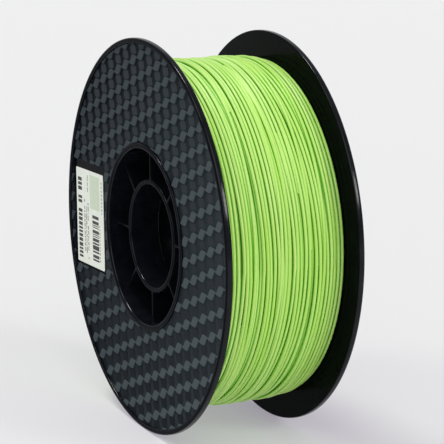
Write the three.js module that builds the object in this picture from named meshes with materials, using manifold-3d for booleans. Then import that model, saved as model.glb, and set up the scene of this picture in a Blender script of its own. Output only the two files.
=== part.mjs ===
// A 1 kg filament spool standing on the rims of its two flanges.
// The spool's axis is Y, +Z is up and the origin is the centre of the spool, on its axis.
// The front flange, which carries the label, is at -Y.  All lengths are in millimetres.

import * as THREE from "three";
import { mergeVertices } from "three/addons/utils/BufferGeometryUtils.js";
import Module from "manifold-3d";

// ---- driving dimensions ----------------------------------------------------

const SPOOL_WIDTH = 73; // over the outer faces of both flanges
const FLANGE_RADIUS = 100;
const FLANGE_THICKNESS = 3.2; // at the rim and at the hub collar
const RIM_BEAD = 2.6; // radial width of the raised bead at the rim
const FIELD_DEPTH = 1.4; // the patterned field lies this far below the bead
const HUB_RADIUS = 44.5; // the large opening in the middle of each flange
const COLLAR_WIDTH = 2.8; // the raised collar around that opening
const EDGE_BREAK = 0.6; // chamfer on the bead and on the collar

const SPIGOT_WALL = 1.5; // the flange's short tube that plugs into the core
const SPIGOT_LENGTH = 13;
const CORE_WALL = 1.8; // the tube that the filament is wound on

const BORE_RADIUS = 26; // the hole that a spool holder goes through
const BORE_WALL = 2.7;
const BORE_RING_LENGTH = 16;
const BORE_RING_DEPTH = 4.7; // below the collar's face
const RIB_COUNT = 8;
const RIB_THICKNESS = 1.3;
const RIB_LENGTH = 14; // along the axis
const RIB_STEP = 0.3; // the ribs stand this far below the bore ring's edge
const RIB_CLOCKING = 2.5; // degrees, of the first rib above +X

const LABEL_SIZE = { width: 37, height: 51, thickness: 0.16 };
const LABEL_CENTRE = { x: -72.3, z: -5.4 };
const LABEL_TILT = 2.5; // degrees
const LABEL_LIFT = 0.06; // adhesive under the label
const POCKET_DEPTH = 0.4; // the label's pocket, below the patterned field
const POCKET_MARGIN = { left: 1.5, right: 3.5, bottom: 1, top: 4.5 };

const STRAND = 1.75; // filament diameter
const WINDING_RADIUS = 88;
const WINDING_SHOULDER = 1.2; // the winding's outer corners are rounded off
const TAIL_HOLE = { radius: 1.9, at: 94, angle: 215 }; // in the rear flange

const CLEARANCE = 0.3; // between separate pieces that touch
const SIDES = 72; // facets of the large round pieces
const BORE_SIDES = 48;

// ---- worked out from them --------------------------------------------------

const faceY = SPOOL_WIDTH / 2; // outer face of a flange
const fieldY = faceY - FIELD_DEPTH;
const innerY = faceY - FLANGE_THICKNESS; // the face that the filament bears on
const spigotRadius = HUB_RADIUS + SPIGOT_WALL;
const coreInner = spigotRadius + CLEARANCE;
const coreOuter = coreInner + CORE_WALL;

const degrees = THREE.MathUtils.degToRad;
const wasm = await Module();
wasm.setup();

// ---- materials -------------------------------------------------------------

const blackPlastic = () =>
  new THREE.MeshStandardMaterial({ color: 0x1b1d22, roughness: 0.38, metalness: 0 });
const labelPaper = () =>
  new THREE.MeshStandardMaterial({ color: 0xeef2ea, roughness: 0.6, metalness: 0 });
const greenFilament = () =>
  new THREE.MeshStandardMaterial({ color: 0x8fd846, roughness: 0.35, metalness: 0 });

// ---- helpers ---------------------------------------------------------------

const spool = new THREE.Group();

function add(name, geometry, material) {
  const mesh = new THREE.Mesh(geometry, material);
  mesh.name = name;
  spool.add(mesh);
  return mesh;
}

// A closed ring about the spool's axis.  The profile is a list of [radius, y] with y measured
// along the axis, anticlockwise seen with the radius to the right and the axis upwards.
// Half a facet of turn puts a flat facet, not a corner, at the bottom.
function turned(profile, sides) {
  const points = profile.map(([radius, y]) => new THREE.Vector2(radius, y));
  points.push(points[0].clone());
  return new THREE.LatheGeometry(points, sides, Math.PI / sides, 2 * Math.PI);
}

// The same profile on the other flange: y changes sign, and so does the order.
function mirrored(profile) {
  return profile.map(([radius, y]) => [radius, -y]).reverse();
}

function toSolid(geometry) {
  const bare = geometry.clone();
  bare.deleteAttribute("normal");
  bare.deleteAttribute("uv");
  const merged = mergeVertices(bare, 1e-4);
  const vertProperties = new Float32Array(merged.attributes.position.array);
  const triVerts = new Uint32Array(merged.index.array);
  return new wasm.Manifold(new wasm.Mesh({ numProp: 3, vertProperties, triVerts }));
}

function toGeometry(solid) {
  const mesh = solid.getMesh();
  const geometry = new THREE.BufferGeometry();
  geometry.setAttribute("position", new THREE.BufferAttribute(mesh.vertProperties, 3));
  geometry.setIndex(new THREE.BufferAttribute(mesh.triVerts, 1));
  geometry.computeVertexNormals();
  return geometry;
}

function cut(geometry, tool) {
  return toGeometry(toSolid(geometry).subtract(toSolid(tool)));
}

// ---- flanges ---------------------------------------------------------------

// Half section of the rear flange, whose outer face looks along +Y: a spigot, a thin web
// with a raised collar at the hub and a raised bead at the rim.
const fieldInner = HUB_RADIUS + COLLAR_WIDTH;
const fieldOuter = FLANGE_RADIUS - RIM_BEAD;
const flangeProfile = [
  [HUB_RADIUS, innerY - SPIGOT_LENGTH],
  [spigotRadius, innerY - SPIGOT_LENGTH],
  [spigotRadius, innerY],
  [FLANGE_RADIUS - EDGE_BREAK, innerY],
  [FLANGE_RADIUS, innerY + EDGE_BREAK],
  [FLANGE_RADIUS, faceY - EDGE_BREAK],
  [FLANGE_RADIUS - EDGE_BREAK, faceY],
  [fieldOuter + EDGE_BREAK, faceY],
  [fieldOuter, fieldY],
  [fieldInner, fieldY],
  [fieldInner - EDGE_BREAK, faceY],
  [HUB_RADIUS + EDGE_BREAK, faceY],
  [HUB_RADIUS, faceY - EDGE_BREAK],
];

// The pocket that the label is stuck into, as a block standing in the front flange's web.
const pocketWidth = LABEL_SIZE.width + POCKET_MARGIN.left + POCKET_MARGIN.right;
const pocketHeight = LABEL_SIZE.height + POCKET_MARGIN.bottom + POCKET_MARGIN.top;
const pocketBlock = new THREE.BoxGeometry(pocketWidth, 2 * POCKET_DEPTH, pocketHeight);
pocketBlock.translate(
  (POCKET_MARGIN.right - POCKET_MARGIN.left) / 2,
  0,
  (POCKET_MARGIN.top - POCKET_MARGIN.bottom) / 2,
);
pocketBlock.rotateY(-degrees(LABEL_TILT));
pocketBlock.translate(LABEL_CENTRE.x, -fieldY, LABEL_CENTRE.z);
add("front_flange", cut(turned(mirrored(flangeProfile), SIDES), pocketBlock), blackPlastic());

// The hole near the rear rim that holds the loose end of the filament.
const tailHole = new THREE.CylinderGeometry(TAIL_HOLE.radius, TAIL_HOLE.radius, 10, 16);
const tailX = TAIL_HOLE.at * Math.cos(degrees(TAIL_HOLE.angle));
const tailZ = TAIL_HOLE.at * Math.sin(degrees(TAIL_HOLE.angle));
tailHole.translate(tailX, innerY + FLANGE_THICKNESS / 2, tailZ);
add("rear_flange", cut(turned(flangeProfile, SIDES), tailHole), blackPlastic());

// ---- core tube -------------------------------------------------------------

const coreEnd = innerY - CLEARANCE;
const coreProfile = [
  [coreInner, -coreEnd],
  [coreOuter, -coreEnd],
  [coreOuter, coreEnd],
  [coreInner, coreEnd],
];
add("core_tube", turned(coreProfile, SIDES), blackPlastic());

// ---- bore rings and their ribs, one set in each flange ---------------------

const boreOuter = BORE_RADIUS + BORE_WALL;
const ringTop = faceY - BORE_RING_DEPTH;
const ringBottom = ringTop - BORE_RING_LENGTH;
const ringBreak = EDGE_BREAK;
const boreRingProfile = [
  [BORE_RADIUS, ringBottom],
  [boreOuter, ringBottom],
  [boreOuter, ringTop - ringBreak],
  [boreOuter - ringBreak, ringTop],
  [BORE_RADIUS + ringBreak, ringTop],
  [BORE_RADIUS, ringTop - ringBreak],
];

const ribInner = boreOuter + CLEARANCE;
const ribOuter = HUB_RADIUS * Math.cos(Math.PI / SIDES) - CLEARANCE;
const ribMiddleY = ringTop - RIB_STEP - RIB_LENGTH / 2;
for (const [side, sign] of [["front", -1], ["rear", 1]]) {
  const profile = sign > 0 ? boreRingProfile : mirrored(boreRingProfile);
  add(`${side}_bore_ring`, turned(profile, BORE_SIDES), blackPlastic());
  for (let i = 0; i < RIB_COUNT; i += 1) {
    const rib = new THREE.BoxGeometry(ribOuter - ribInner, RIB_LENGTH, RIB_THICKNESS);
    rib.translate((ribInner + ribOuter) / 2, 0, 0);
    const mesh = add(`${side}_rib_${i + 1}`, rib, blackPlastic());
    mesh.position.y = sign * ribMiddleY;
    mesh.rotation.y = -degrees(RIB_CLOCKING + (i * 360) / RIB_COUNT);
  }
}

// ---- label -----------------------------------------------------------------

const { width, height, thickness } = LABEL_SIZE;
const label = add("label", new THREE.BoxGeometry(width, thickness, height), labelPaper());
label.position.x = LABEL_CENTRE.x;
label.position.y = -(fieldY - POCKET_DEPTH + LABEL_LIFT + thickness / 2);
label.position.z = LABEL_CENTRE.z;
label.rotation.y = -degrees(LABEL_TILT);

// ---- filament --------------------------------------------------------------

const windingInner = coreOuter + CLEARANCE;
const windingEnd = innerY - CLEARANCE;
const shoulderRadius = WINDING_RADIUS - WINDING_SHOULDER;
const shoulderY = windingEnd - WINDING_SHOULDER;
const windingProfile = [
  [windingInner, -windingEnd],
  [shoulderRadius, -windingEnd],
  [WINDING_RADIUS, -shoulderY],
  [WINDING_RADIUS, shoulderY],
  [shoulderRadius, windingEnd],
  [windingInner, windingEnd],
];
add("filament_winding", turned(windingProfile, SIDES), greenFilament());

// The loose end lifts off the last turn, climbs to the rear flange's hole and ends in it.
const tailAround = (angle, radius, y) =>
  new THREE.Vector3(
    radius * Math.cos(degrees(angle)),
    y,
    radius * Math.sin(degrees(angle)),
  );
const tailLift = STRAND / 2 + 2 * CLEARANCE;
const tailPath = new THREE.CatmullRomCurve3([
  tailAround(TAIL_HOLE.angle - 46, WINDING_RADIUS + tailLift, innerY - 8),
  tailAround(TAIL_HOLE.angle - 32, WINDING_RADIUS + tailLift, innerY - 6.5),
  tailAround(TAIL_HOLE.angle - 18, WINDING_RADIUS + tailLift + 0.4, innerY - 5),
  tailAround(TAIL_HOLE.angle - 6, TAIL_HOLE.at - 2, innerY - 3.6),
  tailAround(TAIL_HOLE.angle - 1.2, TAIL_HOLE.at - 0.3, innerY - 2.2),
  tailAround(TAIL_HOLE.angle, TAIL_HOLE.at, innerY),
  tailAround(TAIL_HOLE.angle, TAIL_HOLE.at, faceY - CLEARANCE),
]);
const strandSection = new THREE.Shape();
strandSection.absarc(0, 0, STRAND / 2, 0, 2 * Math.PI);
const tail = new THREE.ExtrudeGeometry(strandSection, {
  steps: 24,
  curveSegments: 4,
  bevelEnabled: false,
  extrudePath: tailPath,
});
add("filament_tail", tail, greenFilament());

export default spool;
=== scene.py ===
"""A filament spool standing on its rims: the looks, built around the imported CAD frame.

The spool's axis is Y, the labelled front flange is at -Y and the floor is under the rims.
Everything is in metres.
"""

import math
import random

import bmesh
import bpy
import numpy as np
from mathutils import Matrix, Vector


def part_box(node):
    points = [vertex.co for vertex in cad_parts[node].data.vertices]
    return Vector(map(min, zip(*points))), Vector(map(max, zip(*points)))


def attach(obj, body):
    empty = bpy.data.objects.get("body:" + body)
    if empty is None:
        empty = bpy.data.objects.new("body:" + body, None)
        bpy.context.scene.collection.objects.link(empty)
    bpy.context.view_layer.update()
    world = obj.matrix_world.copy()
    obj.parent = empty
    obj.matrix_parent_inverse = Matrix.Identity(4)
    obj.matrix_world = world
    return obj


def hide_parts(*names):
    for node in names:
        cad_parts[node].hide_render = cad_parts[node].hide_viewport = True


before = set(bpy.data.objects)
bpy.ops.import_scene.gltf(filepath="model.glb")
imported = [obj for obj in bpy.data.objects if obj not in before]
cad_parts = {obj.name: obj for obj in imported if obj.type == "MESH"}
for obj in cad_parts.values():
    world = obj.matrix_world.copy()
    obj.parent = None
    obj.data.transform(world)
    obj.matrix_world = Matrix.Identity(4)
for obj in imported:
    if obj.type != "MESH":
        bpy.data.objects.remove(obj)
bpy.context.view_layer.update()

MM = 0.001
TAU = 2 * math.pi

# ---- sizes, from the frame where it has them ---------------------------------------------

CAD_SIDES = 72  # facets of the CAD's large round pieces: their boxes stop at a facet
BORE_SIDES = 48  # facets of its bore rings


def half_width(node, sides=CAD_SIDES):
    """Outer radius of a turned CAD node, from its box."""
    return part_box(node)[1].x / math.cos(math.pi / sides)


FACE_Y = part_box("rear_flange")[1].y
SPIGOT_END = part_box("rear_flange")[0].y
FLANGE_R = half_width("rear_flange")
WINDING_R = half_width("filament_winding")
WINDING_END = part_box("filament_winding")[1].y
CORE_R = half_width("core_tube")
RING_R = half_width("rear_bore_ring", BORE_SIDES)
RING_INNER_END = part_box("rear_bore_ring")[0].y
RING_OUTER_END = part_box("rear_bore_ring")[1].y

FLANGE_THICKNESS = 3.2 * MM
RIM_BEAD = 2.6 * MM
FIELD_DEPTH = 1.4 * MM
COLLAR_WIDTH = 2.8 * MM
HUB_R = 44.5 * MM
SPIGOT_WALL = 1.5 * MM
CORE_WALL = 1.8 * MM
RING_WALL = 2.7 * MM
RIB_THICKNESS = 1.3 * MM
RIB_COUNT = 8
RIB_CLOCKING = math.radians(2.5)  # how far the first rib is turned from the X axis

STRAND_R = 1.75 * MM / 2

BORE_R = RING_R - RING_WALL
INNER_Y = FACE_Y - FLANGE_THICKNESS
FIELD_Y = FACE_Y - FIELD_DEPTH
FIELD_INNER_R = HUB_R + COLLAR_WIDTH
FIELD_OUTER_R = FLANGE_R - RIM_BEAD

SMOOTH_ANGLE = 32  # degrees; a sharper edge stays sharp
ROUND_SMOOTH_ANGLE = 60
TILE_SMOOTH_ANGLE = 20

# ---- camera ------------------------------------------------------------------------------

CAMERA_AZIMUTH = math.radians(65.0)
CAMERA_ELEVATION = math.radians(13.0)
CAMERA_ROLL = math.radians(0.32)
CAMERA_DISTANCE = 1.2086
CAMERA_LENS = 192.8  # mm
CAMERA_SENSOR = 36  # mm
AIM = (7.25 * MM, 4.28 * MM)  # the camera aims this far right of and above the spool's centre


def direction(azimuth, elevation):
    """From the spool outwards; azimuth 0 is straight before the front flange."""
    level = math.cos(elevation)
    return Vector((math.sin(azimuth) * level, -math.cos(azimuth) * level, math.sin(elevation)))


def add_camera():
    away = direction(CAMERA_AZIMUTH, CAMERA_ELEVATION)
    level = Vector((math.cos(CAMERA_AZIMUTH), math.sin(CAMERA_AZIMUTH), 0))
    roll = Matrix.Rotation(CAMERA_ROLL, 4, away)
    right, up = roll @ level, roll @ away.cross(level)
    data = bpy.data.cameras.new("camera")
    data.lens = CAMERA_LENS
    data.sensor_width = CAMERA_SENSOR
    data.clip_end = 50
    camera = bpy.data.objects.new("camera", data)
    bpy.context.scene.collection.objects.link(camera)
    camera.location = away * CAMERA_DISTANCE
    target = right * AIM[0] + up * AIM[1]
    aimed = (target - camera.location).to_track_quat("-Z", "Y").to_matrix().to_4x4()
    camera.rotation_euler = (roll @ aimed).to_euler()
    bpy.context.scene.camera = camera


add_camera()
bpy.context.scene.view_settings.view_transform = "Standard"

# ---- materials ---------------------------------------------------------------------------

MIX_FACTOR, MIX_FIRST, MIX_SECOND, MIX_RESULT = 0, 6, 7, 2  # a Mix node's sockets for colours


class Nodes:
    """Short calls for building one material's node tree."""

    def __init__(self, name):
        self.material = bpy.data.materials.new(name)
        self.material.use_nodes = True
        self.tree = self.material.node_tree
        self.shader = self.tree.nodes["Principled BSDF"]
        self.place = self.tree.nodes.new("ShaderNodeTexCoord").outputs["Object"]

    def set(self, **values):
        for name, value in values.items():
            self.shader.inputs[name.replace("_", " ")].default_value = value
        return self

    def noise(self, scale, detail=3.0, roughness=0.5, stretch=None):
        """Noise over the object's own space; scale is in features per metre."""
        place = self.place
        if stretch:
            mapping = self.tree.nodes.new("ShaderNodeMapping")
            mapping.inputs["Scale"].default_value = stretch
            self.link(place, mapping.inputs["Vector"])
            place = mapping.outputs["Vector"]
        node = self.tree.nodes.new("ShaderNodeTexNoise")
        node.inputs["Scale"].default_value = scale
        node.inputs["Detail"].default_value = detail
        node.inputs["Roughness"].default_value = roughness
        self.link(place, node.inputs["Vector"])
        return node.outputs["Fac"]

    def link(self, source, target):
        self.tree.links.new(source, target)

    def span(self, value, low, high, from_low=0.3, from_high=0.7):
        """value spread from [from_low, from_high] to [low, high]."""
        node = self.tree.nodes.new("ShaderNodeMapRange")
        node.inputs["From Min"].default_value = from_low
        node.inputs["From Max"].default_value = from_high
        node.inputs["To Min"].default_value = low
        node.inputs["To Max"].default_value = high
        self.link(value, node.inputs["Value"])
        return node.outputs["Result"]

    def blend(self, factor, first, second):
        """From first to second as factor rises; each is a colour or another node's output."""
        node = self.tree.nodes.new("ShaderNodeMix")
        node.data_type = "RGBA"
        self.link(factor, node.inputs[MIX_FACTOR])
        self.feed(node.inputs[MIX_FIRST], first)
        self.feed(node.inputs[MIX_SECOND], second)
        return node.outputs[MIX_RESULT]

    def multiply(self, first, second):
        node = self.tree.nodes.new("ShaderNodeMix")
        node.data_type = "RGBA"
        node.blend_type = "MULTIPLY"
        node.inputs[MIX_FACTOR].default_value = 1.0
        self.feed(node.inputs[MIX_FIRST], first)
        self.feed(node.inputs[MIX_SECOND], second)
        return node.outputs[MIX_RESULT]

    def feed(self, socket, colour):
        if isinstance(colour, bpy.types.NodeSocket):
            self.link(colour, socket)
        else:
            socket.default_value = (*colour, 1)

    def colour(self, factor, first, second):
        self.link(self.blend(factor, first, second), self.shader.inputs["Base Color"])
        return self

    def roughness(self, factor, low, high):
        self.link(self.span(factor, low, high), self.shader.inputs["Roughness"])
        return self

    def bump(self, height, distance, strength=1.0):
        node = self.tree.nodes.new("ShaderNodeBump")
        node.inputs["Distance"].default_value = distance
        node.inputs["Strength"].default_value = strength
        self.link(height, node.inputs["Height"])
        self.link(node.outputs["Normal"], self.shader.inputs["Normal"])
        return self


def plastic(name, dark, light, gloss, specular):
    """Moulded black plastic: slight mottling, uneven gloss and a trace of orange peel."""
    nodes = Nodes(name).set(Specular_IOR_Level=specular)
    nodes.colour(nodes.span(nodes.noise(160, 4), 0, 1), dark, light)
    nodes.roughness(nodes.noise(420, 3), gloss - 0.04, gloss + 0.05)
    nodes.bump(nodes.noise(2600, 2), 0.008 * MM, 0.35)
    return nodes.material


PAINTED_SHEEN_REACH = 75 * MM  # the weave's painted sheen rises from this far before the axis to as far past it


def weave_plastic(name, dark, light, gloss, along, grain_stretch):
    """Grooved black plastic with a painted sheen: its base colour gets lighter across the face, in
    the direction of along.
    """
    nodes = Nodes(name).set(Specular_IOR_Level=0.012)
    across = nodes.tree.nodes.new("ShaderNodeVectorMath")
    across.operation = "DOT_PRODUCT"
    across.inputs[1].default_value = along
    nodes.link(nodes.place, across.inputs[0])
    # painted sheen: the base colour blends from dark to light across the face
    painted_sheen = nodes.span(across.outputs["Value"], 0, 1, -PAINTED_SHEEN_REACH, PAINTED_SHEEN_REACH)
    grain = nodes.noise(700, 2, 0.6, grain_stretch)
    fibres = nodes.blend(nodes.span(grain, 0, 1), (0.86, 0.86, 0.86), (1.12, 1.12, 1.14))
    base = nodes.multiply(nodes.blend(painted_sheen, dark, light), fibres)
    nodes.link(base, nodes.shader.inputs["Base Color"])
    nodes.roughness(nodes.noise(300, 3), gloss - 0.05, gloss + 0.05)
    nodes.bump(grain, 0.03 * MM, 0.5)
    return nodes.material


def filament_plastic():
    """Extruded green plastic, with painted shade: the colour goes darker and greener, and the
    specular lower, down between the strands.
    """
    nodes = Nodes("filament_green").set(Specular_IOR_Level=0.4)
    drift = nodes.span(nodes.noise(60, 3, 0.5, (0.15, 3, 0.15)), 0, 1)
    lit = nodes.blend(drift, (0.44, 0.77, 0.11), (0.60, 0.89, 0.24))
    # painted shade: ambient occlusion darkens the colour, deepens its green and lowers the
    # specular in the gaps
    occlusion = nodes.tree.nodes.new("ShaderNodeAmbientOcclusion")
    occlusion.inputs["Distance"].default_value = 4 * MM
    occlusion.samples = 8
    openness = nodes.span(occlusion.outputs["AO"], 0, 1, 0.05, 0.7)
    nodes.colour(openness, (0.10, 0.56, 0.008), lit)
    specular = nodes.span(openness, 0.05, 0.45, 0, 1)
    nodes.link(specular, nodes.shader.inputs["Specular IOR Level"])
    nodes.roughness(nodes.noise(900, 3), 0.30, 0.42)
    nodes.bump(nodes.noise(1500, 3, 0.6, (1, 5, 1)), 0.02 * MM, 0.3)
    return nodes.material


def paper(name, dark, light, rough):
    """Printed sticker stock: fibre mottling and a faint satin film."""
    nodes = Nodes(name)
    nodes.colour(nodes.span(nodes.noise(500, 4), 0, 1), dark, light)
    nodes.roughness(nodes.noise(900, 2), rough - 0.04, rough + 0.06)
    nodes.bump(nodes.noise(3500, 3), 0.006 * MM, 0.4)
    return nodes.material


BLACK = plastic("spool_black", (0.003, 0.004, 0.006), (0.007, 0.008, 0.011), 0.16, 0.01)
GLOSS = plastic("spool_edges", (0.003, 0.004, 0.006), (0.007, 0.008, 0.011), 0.15, 0.19)
# a darker, green-tinged copy of the black plastic for the inner faces: painted shade with a faint
# painted green reflection
INNER = plastic("spool_inner_face_painted_shade", (0.002, 0.003, 0.003), (0.003, 0.005, 0.004), 0.15, 0.012)
# the weave's base colours carry a painted sheen, each lighter towards its own direction across the
# face
PAD = weave_plastic(
    "weave_pad", (0.043, 0.056, 0.064), (0.072, 0.092, 0.100), 0.34, (0.8, 0, -0.4), (1, 1, 9)
)
TOW = weave_plastic(
    "weave_tow", (0.009, 0.012, 0.016), (0.036, 0.045, 0.053), 0.36, (0.2, 0, 1.0), (9, 1, 1)
)
GROUND = weave_plastic(
    "weave_ground", (0.002, 0.005, 0.008), (0.022, 0.032, 0.036), 0.4, (0.8, 0, -0.5), (3, 1, 3)
)
GREEN = filament_plastic()
PAPER = paper("label_paper", (0.88, 0.93, 0.81), (0.94, 0.98, 0.89), 0.5)
INK = paper("label_ink", (0.02, 0.022, 0.02), (0.05, 0.055, 0.05), 0.55)
GREY_INK = paper("label_grey_ink", (0.30, 0.33, 0.29), (0.38, 0.41, 0.36), 0.55)
TINT = paper("label_tint", (0.66, 0.76, 0.58), (0.70, 0.80, 0.62), 0.5)

# ---- mesh helpers ------------------------------------------------------------------------


def new_object(
    name, vertices, faces, materials, face_materials=None, smooth_angle=SMOOTH_ANGLE
):
    """A scene object; face_materials gives each face's place in materials."""
    mesh = bpy.data.meshes.new(name)
    mesh.from_pydata([tuple(v) for v in vertices], [], faces)
    for material in materials:
        mesh.materials.append(material)
    if face_materials is not None:
        mesh.polygons.foreach_set("material_index", face_materials)
    work = bmesh.new()
    work.from_mesh(mesh)
    bmesh.ops.recalc_face_normals(work, faces=work.faces)
    work.to_mesh(mesh)
    work.free()
    mesh.shade_smooth()
    mesh.set_sharp_from_angle(angle=math.radians(smooth_angle))
    piece = bpy.data.objects.new(name, mesh)
    bpy.context.scene.collection.objects.link(piece)
    return piece


def rounded(corners, steps=4):
    """A closed outline from (x, y, rounding) corners, each corner eased by its rounding."""
    outline = []
    count = len(corners)
    for i, (r, y, ease) in enumerate(corners):
        corner = Vector((r, y))
        before = Vector(corners[i - 1][:2]) - corner
        after = Vector(corners[(i + 1) % count][:2]) - corner
        reach = min(ease, before.length * 0.48, after.length * 0.48)
        if reach <= 0:
            outline.append(corner)
            continue
        start = corner + before.normalized() * reach
        end = corner + after.normalized() * reach
        for k in range(steps + 1):
            t = k / steps
            outline.append(start * (1 - t) ** 2 + corner * 2 * t * (1 - t) + end * t**2)
    return outline


def turned(name, corners, material, sides=256, side=1):
    """A ring about the Y axis; side -1 puts it on the front half of the spool."""
    outline = rounded(corners, steps=6)
    count = len(outline)
    vertices = []
    for k in range(sides):
        turn = TAU * k / sides
        for r, y in outline:
            vertices.append((r * math.cos(turn), side * y, r * math.sin(turn)))
    faces = []
    for k in range(sides):
        this, following = k * count, (k + 1) % sides * count
        for i in range(count):
            j = (i + 1) % count
            faces.append((this + i, this + j, following + j, following + i))
    return new_object(name, vertices, faces, [material])


def block(low, high):
    """Corners and faces of a box."""
    corners = [
        (x, y, z) for x in (low[0], high[0]) for y in (low[1], high[1]) for z in (low[2], high[2])
    ]
    faces = [(0, 1, 3, 2), (4, 6, 7, 5), (0, 4, 5, 1), (2, 3, 7, 6), (0, 2, 6, 4), (1, 5, 7, 3)]
    return corners, faces


def merge(parts):
    """One list of vertices, faces and material slots from several (vertices, faces, slot)."""
    vertices, faces, slots = [], [], []
    for part_vertices, part_faces, slot in parts:
        start = len(vertices)
        vertices.extend(part_vertices)
        faces.extend(tuple(start + i for i in face) for face in part_faces)
        slots.extend([slot] * len(part_faces))
    return vertices, faces, slots


def cut(piece, tool):
    """Takes the tool's volume out of the piece, and removes the tool."""
    modifier = piece.modifiers.new("cut", "BOOLEAN")
    modifier.operation = "DIFFERENCE"
    modifier.solver = "EXACT"
    modifier.object = tool
    bpy.context.view_layer.objects.active = piece
    bpy.ops.object.modifier_apply(modifier=modifier.name)
    bpy.data.objects.remove(tool)
    piece.data.set_sharp_from_angle(angle=math.radians(SMOOTH_ANGLE))


def place(piece, nodes, slot):
    """Puts the piece on the spool, in place of the CAD nodes; the slot is not used."""
    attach(piece, "root")
    if nodes:
        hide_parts(*nodes)
    return piece


# ---- label and its pocket ----------------------------------------------------------------

LABEL_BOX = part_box("label")
LABEL_WIDTH = 37 * MM
LABEL_HEIGHT = 51 * MM
LABEL_TILT = math.radians(2.5)
LABEL_FRONT = LABEL_BOX[0].y
LABEL_BACK = LABEL_BOX[1].y
POCKET_DEPTH = 0.4 * MM
POCKET_TOOL_REACH = 3 * MM  # how far the tool that cuts the pocket stands out of it
PRINT_SEED = 4
POCKET = {"left": 1.5 * MM, "right": 3.5 * MM, "bottom": 1.0 * MM, "top": 4.5 * MM}

label_centre = (LABEL_BOX[0] + LABEL_BOX[1]) / 2
label_turn = Matrix.Translation((label_centre.x, 0, label_centre.z)) @ Matrix.Rotation(
    -LABEL_TILT, 4, "Y"
)


def on_label(vertices):
    return [label_turn @ Vector(v) for v in vertices]


def pocket_outline():
    """The pocket's sides in the label's own space, from the label's centre."""
    low_x, high_x = -LABEL_WIDTH / 2 - POCKET["left"], LABEL_WIDTH / 2 + POCKET["right"]
    low_z, high_z = -LABEL_HEIGHT / 2 - POCKET["bottom"], LABEL_HEIGHT / 2 + POCKET["top"]
    return low_x, high_x, low_z, high_z


# ---- flanges -----------------------------------------------------------------------------

FLANGE_CORNERS = [
    (HUB_R, SPIGOT_END, 0.3 * MM),
    (HUB_R + SPIGOT_WALL, SPIGOT_END, 0.3 * MM),
    (HUB_R + SPIGOT_WALL, INNER_Y, 0),
    (FLANGE_R, INNER_Y, 0.9 * MM),
    (FLANGE_R, FACE_Y, 1.4 * MM),
    (FIELD_OUTER_R, FACE_Y, 1.0 * MM),
    (FIELD_OUTER_R, FIELD_Y, 0.2 * MM),
    (FIELD_INNER_R, FIELD_Y, 0.2 * MM),
    (FIELD_INNER_R, FACE_Y, 0.9 * MM),
    (HUB_R, FACE_Y, 1.3 * MM),
]

# The moulded twill: rows of raised pads linked corner to corner, with a lower tow between
# the rows.  ROW is the step from pad to pad along a row, COLUMN the step to the next row.
ROW = np.array((9.66, 3.83)) * MM
COLUMN = np.array((-0.49, 10.27)) * MM
FIRST_PAD = np.array((1.0, -0.6)) * MM
PAD_OUTLINE = [
    (0.45, 0.05), (0.36, 0.11), (-0.04, 0.29), (-0.16, 0.28),
    (-0.45, -0.05), (-0.36, -0.11), (0.04, -0.29), (0.16, -0.28),
]
LINK_OUTLINE = [(0.38, -0.01), (0.42, 0.06), (0.62, 0.01), (0.58, -0.06)]
TOW_OUTLINE = [
    (0.30, 0.20), (0.36, 0.32), (0.30, 0.58), (0.20, 0.68),
    (-0.30, 0.80), (-0.36, 0.68), (-0.30, 0.42), (-0.20, 0.32),
]
PAD_HEIGHT = 0.55 * MM
TOW_HEIGHT = 0.16 * MM
LINK_HEIGHT = 0.36 * MM
CHAMFER = 0.22 * MM
TILE_ROOT = 0.3 * MM  # how far a tile goes into the floor of the field
FIELD_MARGIN = 0.25 * MM  # bare floor between the tiles and the bead or the collar
SMALLEST_TILE = 0.4 * MM * MM
HOLE_MARGIN = 2.4 * MM
WEAVE_REACH = int(FIELD_OUTER_R / (8 * MM)) + 3  # rows and columns that may touch the field
WEAVE_MARGIN = 16 * MM  # a tile may start this far outside the field and still touch it
# outline, height, how the top is tipped, and the material: 0 pad, 1 tow
TILE_KINDS = [
    (PAD_OUTLINE, PAD_HEIGHT, np.array((0.0, -0.05)), 0),
    (LINK_OUTLINE, LINK_HEIGHT, np.array((0.0, 0.0)), 0),
    (TOW_OUTLINE, TOW_HEIGHT, np.array((-0.02, 0.03)), 1),
]


def keep_side(polygon, normal, limit):
    """The part of a convex polygon where normal . point <= limit."""
    kept = []
    for i, point in enumerate(polygon):
        after = polygon[(i + 1) % len(polygon)]
        here, there = normal @ point - limit, normal @ after - limit
        if here <= 0:
            kept.append(point)
        if here * there < 0:
            kept.append(point + (after - point) * here / (here - there))
    return kept


def trim_to_field(polygon, pocket):
    """Cuts a tile of the weave where it meets the bead, the collar or the label's pocket."""
    centre = sum(polygon) / len(polygon)
    out = centre / np.linalg.norm(centre)
    polygon = keep_side(polygon, out, FIELD_OUTER_R - FIELD_MARGIN)
    if len(polygon) > 2:
        polygon = keep_side(polygon, -out, -(FIELD_INNER_R + FIELD_MARGIN))
    if len(polygon) > 2 and pocket and all(
        any(normal @ point < limit for point in polygon) for normal, limit in pocket
    ):
        normal, limit = min(pocket, key=lambda side: side[1] - side[0] @ centre)
        polygon = keep_side(polygon, -normal, -limit)
    return polygon


def tile(polygon, height, slope, side):
    """A low tile with chamfered edges, standing on the field; slope tips its top."""
    count = len(polygon)
    centre = sum(polygon) / count
    foot, top = [], []
    for point in polygon:
        inward = centre - point
        drawn = point + inward * min(0.5, CHAMFER / np.linalg.norm(inward))
        lift = height + slope @ (drawn - centre)
        foot.append((point[0], side * (FIELD_Y - TILE_ROOT), point[1]))
        top.append((drawn[0], side * (FIELD_Y + lift), drawn[1]))
    faces = [tuple(range(count)), tuple(range(count, 2 * count))]
    for i in range(count):
        j = (i + 1) % count
        faces.append((i, j, count + j, count + i))
    return foot + top, faces


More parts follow.
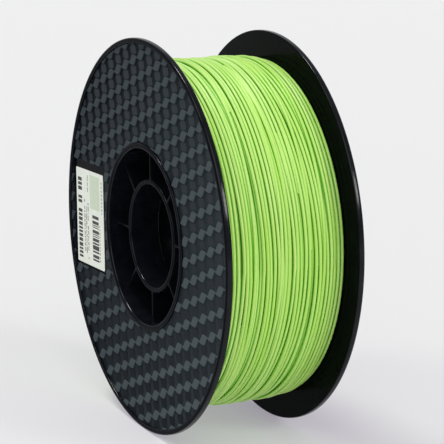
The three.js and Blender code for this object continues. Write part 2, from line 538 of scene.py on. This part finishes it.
def reaches(polygon, point, margin):
    """Whether a convex polygon comes within about margin of the point."""
    centre = sum(polygon) / len(polygon)
    for i, corner in enumerate(polygon):
        edge = polygon[(i + 1) % len(polygon)] - corner
        normal = np.array((edge[1], -edge[0])) / np.linalg.norm(edge)
        if normal @ (centre - corner) > 0:
            normal = -normal
        if normal @ (point - corner) > margin:
            return False
    return True


def weave(name, side, pocket=None, clear=None):
    """Every tile of the moulded twill on one flange, but none over the point clear."""
    parts = []
    for row in range(-WEAVE_REACH, WEAVE_REACH):
        for column in range(-WEAVE_REACH, WEAVE_REACH):
            origin = FIRST_PAD + row * ROW + column * COLUMN
            if np.linalg.norm(origin) > FIELD_OUTER_R + WEAVE_MARGIN:
                continue
            for outline, height, slope, slot in TILE_KINDS:
                polygon = [origin + u * ROW + v * COLUMN for u, v in outline]
                polygon = trim_to_field(polygon, pocket)
                if len(polygon) < 3 or area(polygon) <= SMALLEST_TILE:
                    continue
                if clear is None or not reaches(polygon, clear, HOLE_MARGIN):
                    parts.append((*tile(polygon, height, slope, side), slot))
    vertices, faces, slots = merge(parts)
    return new_object(name, vertices, faces, [PAD, TOW], slots, TILE_SMOOTH_ANGLE)


def area(polygon):
    total = 0.0
    for i, point in enumerate(polygon):
        after = polygon[(i + 1) % len(polygon)]
        total += point[0] * after[1] - point[1] * after[0]
    return abs(total) / 2


def pocket_sides():
    """The pocket's four sides as (outward normal, distance), in the face's x and z."""
    low_x, high_x, low_z, high_z = pocket_outline()
    turn = label_turn.to_3x3()
    sides = []
    for axis, reach in (
        ((-1, 0, 0), -low_x),
        ((1, 0, 0), high_x),
        ((0, 0, -1), -low_z),
        ((0, 0, 1), high_z),
    ):
        outward = turn @ Vector(axis)
        normal = np.array((outward.x, outward.z))
        limit = reach + normal @ np.array((label_centre.x, label_centre.z))
        sides.append((normal, limit))
    return sides


def make_flange(side, node):
    flange = turned(f"{node}_moulding", FLANGE_CORNERS, BLACK, side=side)
    for material in (GROUND, GLOSS, INNER):
        flange.data.materials.append(material)
    gloss_edges(flange)
    shade_field(flange)
    return flange


def slot_of(piece, material):
    """The material's place among the piece's materials."""
    return list(piece.data.materials).index(material)


def gloss_edges(piece):
    """The rounded edges and the walls take a polish that the flat faces don't have."""
    gloss = slot_of(piece, GLOSS)
    for polygon in piece.data.polygons:
        if abs(polygon.normal.y) < 0.8:
            polygon.material_index = gloss


def shade_field(flange):
    """The floor of the patterned field takes the weave's ground, with its painted sheen, and the
    inner face a darker copy of the black plastic, as painted shade.
    """
    ground, inner = slot_of(flange, GROUND), slot_of(flange, INNER)
    for polygon in flange.data.polygons:
        centre = polygon.center
        radius = math.hypot(centre.x, centre.z)
        if abs(abs(centre.y) - FIELD_Y) < 0.1 * MM and FIELD_INNER_R < radius < FIELD_OUTER_R:
            polygon.material_index = ground
        elif abs(abs(centre.y) - INNER_Y) < 0.1 * MM and radius > FIELD_INNER_R:
            polygon.material_index = inner


front_flange = make_flange(-1, "front_flange")
low_x, high_x, low_z, high_z = pocket_outline()
corners, faces = block(
    (low_x, -FIELD_Y - POCKET_TOOL_REACH, low_z), (high_x, -FIELD_Y + POCKET_DEPTH, high_z)
)
cut(front_flange, new_object("pocket_tool", on_label(corners), faces, [BLACK]))
place(front_flange, ["front_flange"], "spool_plastic")
place(weave("front_weave", -1, pocket_sides()), [], "spool_plastic")

# The rear flange has a hole that holds the filament's loose end.
TAIL_ANGLE = math.radians(215)
TAIL_R = 94 * MM
TAIL_HOLE_R = 1.9 * MM
TOOL_LENGTH = 9 * MM

rear_flange = make_flange(1, "rear_flange")
tail_hole = TAIL_R * np.array((math.cos(TAIL_ANGLE), math.sin(TAIL_ANGLE)))
hole = turned(
    "hole_tool",
    [
        (0.01 * MM, 0, 0),
        (TAIL_HOLE_R, 0, 0),
        (TAIL_HOLE_R, TOOL_LENGTH, 0),
        (0.01 * MM, TOOL_LENGTH, 0),
    ],
    BLACK,
    sides=24,
)
hole.location = (tail_hole[0], INNER_Y - 2 * MM, tail_hole[1])
bpy.context.view_layer.update()
cut(rear_flange, hole)
place(rear_flange, ["rear_flange"], "spool_plastic")
place(weave("rear_weave", 1, clear=tail_hole), [], "spool_plastic")

# ---- core, bore rings and ribs -----------------------------------------------------------

core = turned(
    "core_barrel",
    [
        (CORE_R - CORE_WALL, -WINDING_END, 0.3 * MM),
        (CORE_R, -WINDING_END, 0.3 * MM),
        (CORE_R, WINDING_END, 0.3 * MM),
        (CORE_R - CORE_WALL, WINDING_END, 0.3 * MM),
    ],
    BLACK,
)
place(core, ["core_tube"], "spool_plastic")


def rib(angle, side):
    """A thin radial rib that flares where it meets the bore ring and the hub wall."""
    near, far = RING_R - 0.4 * MM, HUB_R + 0.3 * MM
    half = RIB_THICKNESS / 2
    outline = [
        (near, half + 1.4 * MM),
        (near + 0.7 * MM, half + 0.6 * MM),
        (near + 1.8 * MM, half + 0.1 * MM),
        (near + 3.0 * MM, half),
        (far - 3.0 * MM, half),
        (far - 1.6 * MM, half + 0.15 * MM),
        (far - 0.6 * MM, half + 0.7 * MM),
        (far, half + 1.5 * MM),
    ]
    outline += [(x, -z) for x, z in reversed(outline)]
    inner_end, outer_end = (corner.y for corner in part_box("rear_rib_1"))
    levels = [(inner_end, 0.82), (outer_end - 0.35 * MM, 1.0), (outer_end, 0.62)]
    vertices = []
    for y, narrow in levels:  # narrow is the share of the rib's full thickness there
        for x, z in outline:
            wide = z * narrow
            vertices.append(
                (
                    x * math.cos(angle) - wide * math.sin(angle),
                    side * y,
                    x * math.sin(angle) + wide * math.cos(angle),
                )
            )
    count = len(outline)
    faces = [tuple(range(count)), tuple(range(2 * count, 3 * count))]
    for level in (0, count):
        for i in range(count):
            j = (i + 1) % count
            faces.append((level + i, level + j, level + count + j, level + count + i))
    return vertices, faces


for name, side in (("front", -1), ("rear", 1)):
    ring = turned(
        f"{name}_bore",
        [
            (BORE_R, RING_INNER_END, 0.4 * MM),
            (RING_R, RING_INNER_END, 0.4 * MM),
            (RING_R, RING_OUTER_END, 1.0 * MM),
            (BORE_R, RING_OUTER_END, 1.0 * MM),
        ],
        BLACK,
        side=side,
        sides=160,
    )
    ring.data.materials.append(GLOSS)
    gloss_edges(ring)
    place(ring, [f"{name}_bore_ring"], "spool_plastic")
    parts = [(*rib(RIB_CLOCKING + TAU * i / RIB_COUNT, side), 0) for i in range(RIB_COUNT)]
    vertices, faces, slots = merge(parts)
    ribs = new_object(f"{name}_ribs", vertices, faces, [BLACK], slots)
    place(ribs, [f"{name}_rib_{i + 1}" for i in range(RIB_COUNT)], "spool_plastic")

# ---- label -------------------------------------------------------------------------------


def label_sheet():
    """The paper, with rounded corners."""
    outline = rounded(
        [
            (-LABEL_WIDTH / 2, -LABEL_HEIGHT / 2, 1.0 * MM),
            (LABEL_WIDTH / 2, -LABEL_HEIGHT / 2, 1.0 * MM),
            (LABEL_WIDTH / 2, LABEL_HEIGHT / 2, 1.0 * MM),
            (-LABEL_WIDTH / 2, LABEL_HEIGHT / 2, 1.0 * MM),
        ]
    )
    count = len(outline)
    vertices = [(p[0], LABEL_BACK, p[1]) for p in outline]
    vertices += [(p[0], LABEL_FRONT, p[1]) for p in outline]
    faces = [tuple(range(count)), tuple(range(count, 2 * count))]
    for i in range(count):
        j = (i + 1) % count
        faces.append((i, j, count + j, count + i))
    return on_label(vertices), faces, 0


def printed(x, z, width, height, slot):
    """A printed patch; x and z are its corner, measured from the label's lower left corner."""
    left, low = x - LABEL_WIDTH / 2, z - LABEL_HEIGHT / 2
    vertices, faces = block(
        (left, LABEL_FRONT - 0.03 * MM, low),
        (left + width, LABEL_FRONT + 0.02 * MM, low + height),
    )
    return on_label(vertices), faces, slot


def label_print():
    """Generic marks only: rows of plain blocks, a tinted panel and plain bars."""
    pick = random.Random(PRINT_SEED)
    parts = []
    z = 2.6 * MM
    while z < 46.5 * MM:  # the heading, set along the label's long side
        long = pick.uniform(1.0, 2.0) * MM
        if pick.random() > 0.1:
            parts.append(printed(2.3 * MM, z, 5.2 * MM, long, 1))
        z += long + 0.75 * MM
    for x, low, high in ((10.2, 3, 37), (12.6, 6, 30), (15.0, 3, 45)):  # lines of small print
        z = low * MM
        while z < high * MM:
            long = pick.uniform(0.8, 3.4) * MM
            if pick.random() < 0.8:
                parts.append(printed(x * MM, z, pick.choice((1.0, 1.4)) * MM, long, 2))
            z += long + 0.6 * MM
    parts.append(printed(18.6 * MM, 31 * MM, 13.2 * MM, 18 * MM, 3))  # the tinted panel
    z = 3.5 * MM
    while z < 28.5 * MM:  # plain bars
        long = pick.choice((0.5, 0.5, 1.0, 1.7, 2.4)) * MM
        parts.append(printed(21.4 * MM, z, 8.6 * MM, long, 1))
        z += long + pick.choice((0.5, 0.6, 1.1)) * MM
    for x, low, high in ((30.8, 4, 23), (34.0, 30, 47)):  # small marks beside them
        z = low * MM
        while z < high * MM:
            long = pick.uniform(0.7, 1.5) * MM
            parts.append(printed(x * MM, z, 1.1 * MM, long, 2))
            z += long + 0.8 * MM
    return parts


vertices, faces, slots = merge([label_sheet()] + label_print())
label = new_object("label_sticker", vertices, faces, [PAPER, INK, GREY_INK, TINT], slots)
place(label, ["label"], "label_paper")

# ---- filament ----------------------------------------------------------------------------

STEPS = 120  # along one turn
SECTION = 8  # sides of a strand
PITCH = 2 * STRAND_R * 1.005

TOP_R = WINDING_R - STRAND_R
LOWER_R = TOP_R - 1.7 * MM
BULK_R = LOWER_R - 1.0 * MM
SLUMP = 3.2 * MM  # how far the winding falls towards the rear flange
SINK = 0.55 * MM  # how far a strand sinks where the gap beside it is WIDE_GAP or more
WIDE_GAP = 0.8 * MM
LOWER_SEED, TOP_SEED, CROSSING_SEED = 7, 21, 3
LOWER_LOOSE, TOP_LOOSE = 1, 8  # turns fewer than a full layer holds
LOWER_UNEVEN, TOP_UNEVEN = 0.05 * MM, 0.22 * MM
CROSSINGS = 18
CROSSING_CREST = 0.6 * MM  # over the top layer
CROSSING_DIVE = 1.7 * MM  # from the crest down to a crossing's end
DIVE_TURN = 1.0  # radians from where a crossing starts to dive to its end


def gaps(turns, total, seed):
    """Extra room beside each turn at every step round the spool, adding up to total."""
    pick = random.Random(seed)
    room = np.zeros((turns, STEPS))
    angles = np.arange(STEPS) * TAU / STEPS
    for i in range(turns):
        room[i] = 0.02
        for _ in range(3):
            size = pick.choice((0.03, 0.05, 0.1, 0.25, 0.9, 1.6)) * pick.uniform(0.6, 1.2)
            centre, width = pick.uniform(0, TAU), pick.uniform(0.3, 1.0)
            room[i] += size * np.exp((np.cos(angles - centre) - 1) / width**2)
    return room * total / room.sum(0)


def waves(pick, count, size):
    """A smooth wobble round the spool."""
    terms = [
        (pick.randint(1, 6), pick.uniform(0, TAU), pick.uniform(0.2, 1.0)) for _ in range(count)
    ]
    return lambda turn: size * sum(a * math.sin(n * turn + phase) for n, phase, a in terms)


def fall(y):
    """How far the winding has fallen towards the rear flange, from 0 to 1."""
    across = (y + WINDING_END) / (2 * WINDING_END)
    return 0.5 * max(0.0, across - 0.45) ** 1.5 + 0.4 * max(0.0, (across - 0.88) / 0.12) ** 1.5


def winding_layer(turns, radius, spare, seed, slump, uneven):
    """Centre line of one layer, from the front flange to the rear one.

    spare is the free width shared out between the turns, slump lowers the layer towards the
    rear flange and uneven is how far single turns rise and sink.
    """
    room = gaps(turns, spare, seed)
    pick = random.Random(seed + 100)
    start = -WINDING_END + STRAND_R + 0.05 * MM
    path = []
    before = np.zeros(STEPS)
    wobble = waves(pick, 3, uneven)
    for i in range(turns):
        following = waves(pick, 3, uneven)
        for k in range(STEPS):
            part = k / STEPS
            turn = TAU * part
            y = start + PITCH * (i + part) + before[k] + part * room[i][k]
            lift = (1 - part) * wobble(turn) + part * following(turn)
            sink = SINK * min(1.0, room[i][k] / WIDE_GAP)
            r = radius + lift - sink - slump * fall(y)
            path.append((turn + TAU * i, r, y))
        wobble = following
        before = before + room[i]
    return path


def crossing(pick):
    """A stretch of strand that rides over the top layer at a slight slant, then dives in."""
    span = pick.uniform(2.0, 4.4)
    start, y = pick.uniform(0, TAU), pick.uniform(-0.8, 0.68) * WINDING_END
    slant = pick.choice((-1, 1)) * pick.uniform(1.5, 4.5) * MM
    crest = TOP_R + CROSSING_CREST - SLUMP * fall(y)
    steps = int(span / TAU * STEPS)
    path = []
    for k in range(steps + 1):
        t = k / steps
        eased = t * t * (3 - 2 * t)
        edge = min(t, 1 - t) * span / DIVE_TURN
        dive = CROSSING_DIVE * (1 - min(1.0, edge)) ** 2
        path.append((start + t * span, crest - dive, y + slant * eased))
    return path


def strand(path):
    """A closed tube along a list of (angle, radius, y)."""
    points = np.array([(r * math.cos(a), y, r * math.sin(a)) for a, r, y in path])
    ahead = np.gradient(points, axis=0)
    ahead /= np.linalg.norm(ahead, axis=1)[:, None]
    outward = points * (1, 0, 1)
    outward /= np.linalg.norm(outward, axis=1)[:, None]
    across = np.cross(ahead, outward)
    across /= np.linalg.norm(across, axis=1)[:, None]
    outward = np.cross(across, ahead)
    rings = []
    for k in range(SECTION):
        turn = TAU * (k + 0.5) / SECTION
        rings.append(points + STRAND_R * (math.cos(turn) * outward + math.sin(turn) * across))
    vertices = np.stack(rings, axis=1).reshape(-1, 3)
    count = len(points)
    faces = []
    for i in range(count - 1):
        here, there = i * SECTION, (i + 1) * SECTION
        for k in range(SECTION):
            j = (k + 1) % SECTION
            faces.append((here + k, here + j, there + j, there + k))
    faces.append(tuple(range(SECTION)))
    faces.append(tuple((count - 1) * SECTION + k for k in range(SECTION)))
    return vertices.tolist(), faces


def place_strands(name, paths, nodes=()):
    """One piece made of a tube along each path."""
    vertices, faces, slots = merge([(*strand(path), 0) for path in paths])
    place(new_object(name, vertices, faces, [GREEN], slots, ROUND_SMOOTH_ANGLE), nodes, "filament")


free_width = 2 * (WINDING_END - STRAND_R) - 0.2 * MM

bulk = turned(
    "winding_bulk",
    [
        (CORE_R + 0.1 * MM, -WINDING_END, 0),
        (BULK_R, -WINDING_END, 0.4 * MM),
        (BULK_R, WINDING_END, 0.4 * MM),
        (CORE_R + 0.1 * MM, WINDING_END, 0),
    ],
    GREEN,
)
place(bulk, ["filament_winding"], "filament")

full_layer = int(free_width / PITCH)
lower_turns = full_layer - LOWER_LOOSE
lower_spare = free_width - PITCH * lower_turns
lower = winding_layer(lower_turns, LOWER_R, lower_spare, LOWER_SEED, 0.7 * SLUMP, LOWER_UNEVEN)
place_strands("winding_lower_layer", [lower])

top_turns = full_layer - TOP_LOOSE
top_spare = free_width - PITCH * top_turns
top = winding_layer(top_turns, TOP_R, top_spare, TOP_SEED, SLUMP, TOP_UNEVEN)

# The last turn runs on to the hole in the rear flange.
last_angle, last_r, last_y = top[-1]
tail_turn = (TAIL_ANGLE - last_angle) % TAU
lead = [  # (share of that turn, radius, y)
    (0.30, last_r, last_y + 0.1 * MM),
    (0.55, last_r + 0.4 * MM, last_y + 0.1 * MM),
    (0.75, last_r + 1.8 * MM, last_y),
    (0.89, TAIL_R - 2.6 * MM, last_y - 0.1 * MM),
    (0.97, TAIL_R - 0.8 * MM, last_y - 0.1 * MM),
]


def smooth_path(points, count):
    """A Catmull-Rom curve through the points, as count points."""
    points = np.array(points)
    padded = np.vstack([2 * points[0] - points[1], points, 2 * points[-1] - points[-2]])
    spans = len(points) - 1
    result = []
    for i in range(count):
        place_on = i * spans / (count - 1)
        k = min(int(place_on), spans - 1)
        t = place_on - k
        a, b, c, d = padded[k : k + 4]
        square, cube = 2 * a - 5 * b + 4 * c - d, 3 * b - a - 3 * c + d
        result.append(0.5 * (2 * b + (c - a) * t + square * t * t + cube * t**3))
    return result


tail_points = [(last_angle, last_r, last_y)]
for share, r, y in lead:
    tail_points.append((last_angle + share * tail_turn, r, y))
tail_points.append((last_angle + tail_turn, TAIL_R, INNER_Y + 0.2 * MM))
tail_points.append((last_angle + tail_turn, TAIL_R, FACE_Y - 0.4 * MM))
place_strands("winding_top_layer", [top])
pick = random.Random(CROSSING_SEED)
place_strands("winding_crossings", [crossing(pick) for _ in range(CROSSINGS)])
place_strands("filament_loose_end", [smooth_path(tail_points, 90)], ["filament_tail"])

# ---- stage and light ---------------------------------------------------------------------


def add_stage():
    """A pale floor that curves up into a backdrop behind the spool, seen from the camera."""
    floor_z = -FLANGE_R - 0.05 * MM
    reach, bend, height, half = 3.0, 1.2, 3.5, 6
    profile = [(-reach, floor_z), (reach, floor_z)]
    for k in range(1, 13):
        turn = math.pi / 2 * k / 12
        profile.append((reach + bend * math.sin(turn), floor_z + bend * (1 - math.cos(turn))))
    profile.append((reach + bend, floor_z + height))
    back = Vector((-math.sin(CAMERA_AZIMUTH), math.cos(CAMERA_AZIMUTH), 0))
    side = Vector((math.cos(CAMERA_AZIMUTH), math.sin(CAMERA_AZIMUTH), 0))
    vertices = []
    for distance, z in profile:
        for across in (-half, half):
            vertices.append(back * distance + side * across + Vector((0, 0, z)))
    faces = [(2 * i, 2 * i + 1, 2 * i + 3, 2 * i + 2) for i in range(len(profile) - 1)]
    nodes = Nodes("stage_paper").set(Base_Color=(0.488, 0.516, 0.454, 1), Roughness=0.9)
    nodes.set(Specular_IOR_Level=0.05, Emission_Color=(0.295, 0.262, 0.335, 1))
    nodes.set(Emission_Strength=1.0)
    floor = new_object(
        "stage_floor", vertices, faces, [nodes.material], smooth_angle=ROUND_SMOOTH_ANGLE
    )


def add_light(name, azimuth, elevation, strength, spread):
    """A distant soft light; its angles are in degrees and spread is its width."""
    data = bpy.data.lights.new(name, "SUN")
    data.energy = strength
    data.angle = math.radians(spread)
    light = bpy.data.objects.new(name, data)
    bpy.context.scene.collection.objects.link(light)
    away = direction(math.radians(azimuth), math.radians(elevation))
    light.rotation_euler = (-away).to_track_quat("-Z", "Y").to_euler()


add_stage()
add_light("key", -62, 66, 1.25, 14)
add_light("fill", 75, 42, 0.97, 50)
add_light("front", -10, 50, 0.4, 16)
add_light("rim", 118, 26, 0.8, 15)

world = bpy.data.worlds.new("world")
bpy.context.scene.world = world
world.use_nodes = True
background = world.node_tree.nodes["Background"]
background.inputs["Color"].default_value = (0.97, 0.98, 1.0, 1)
background.inputs["Strength"].default_value = 0.32
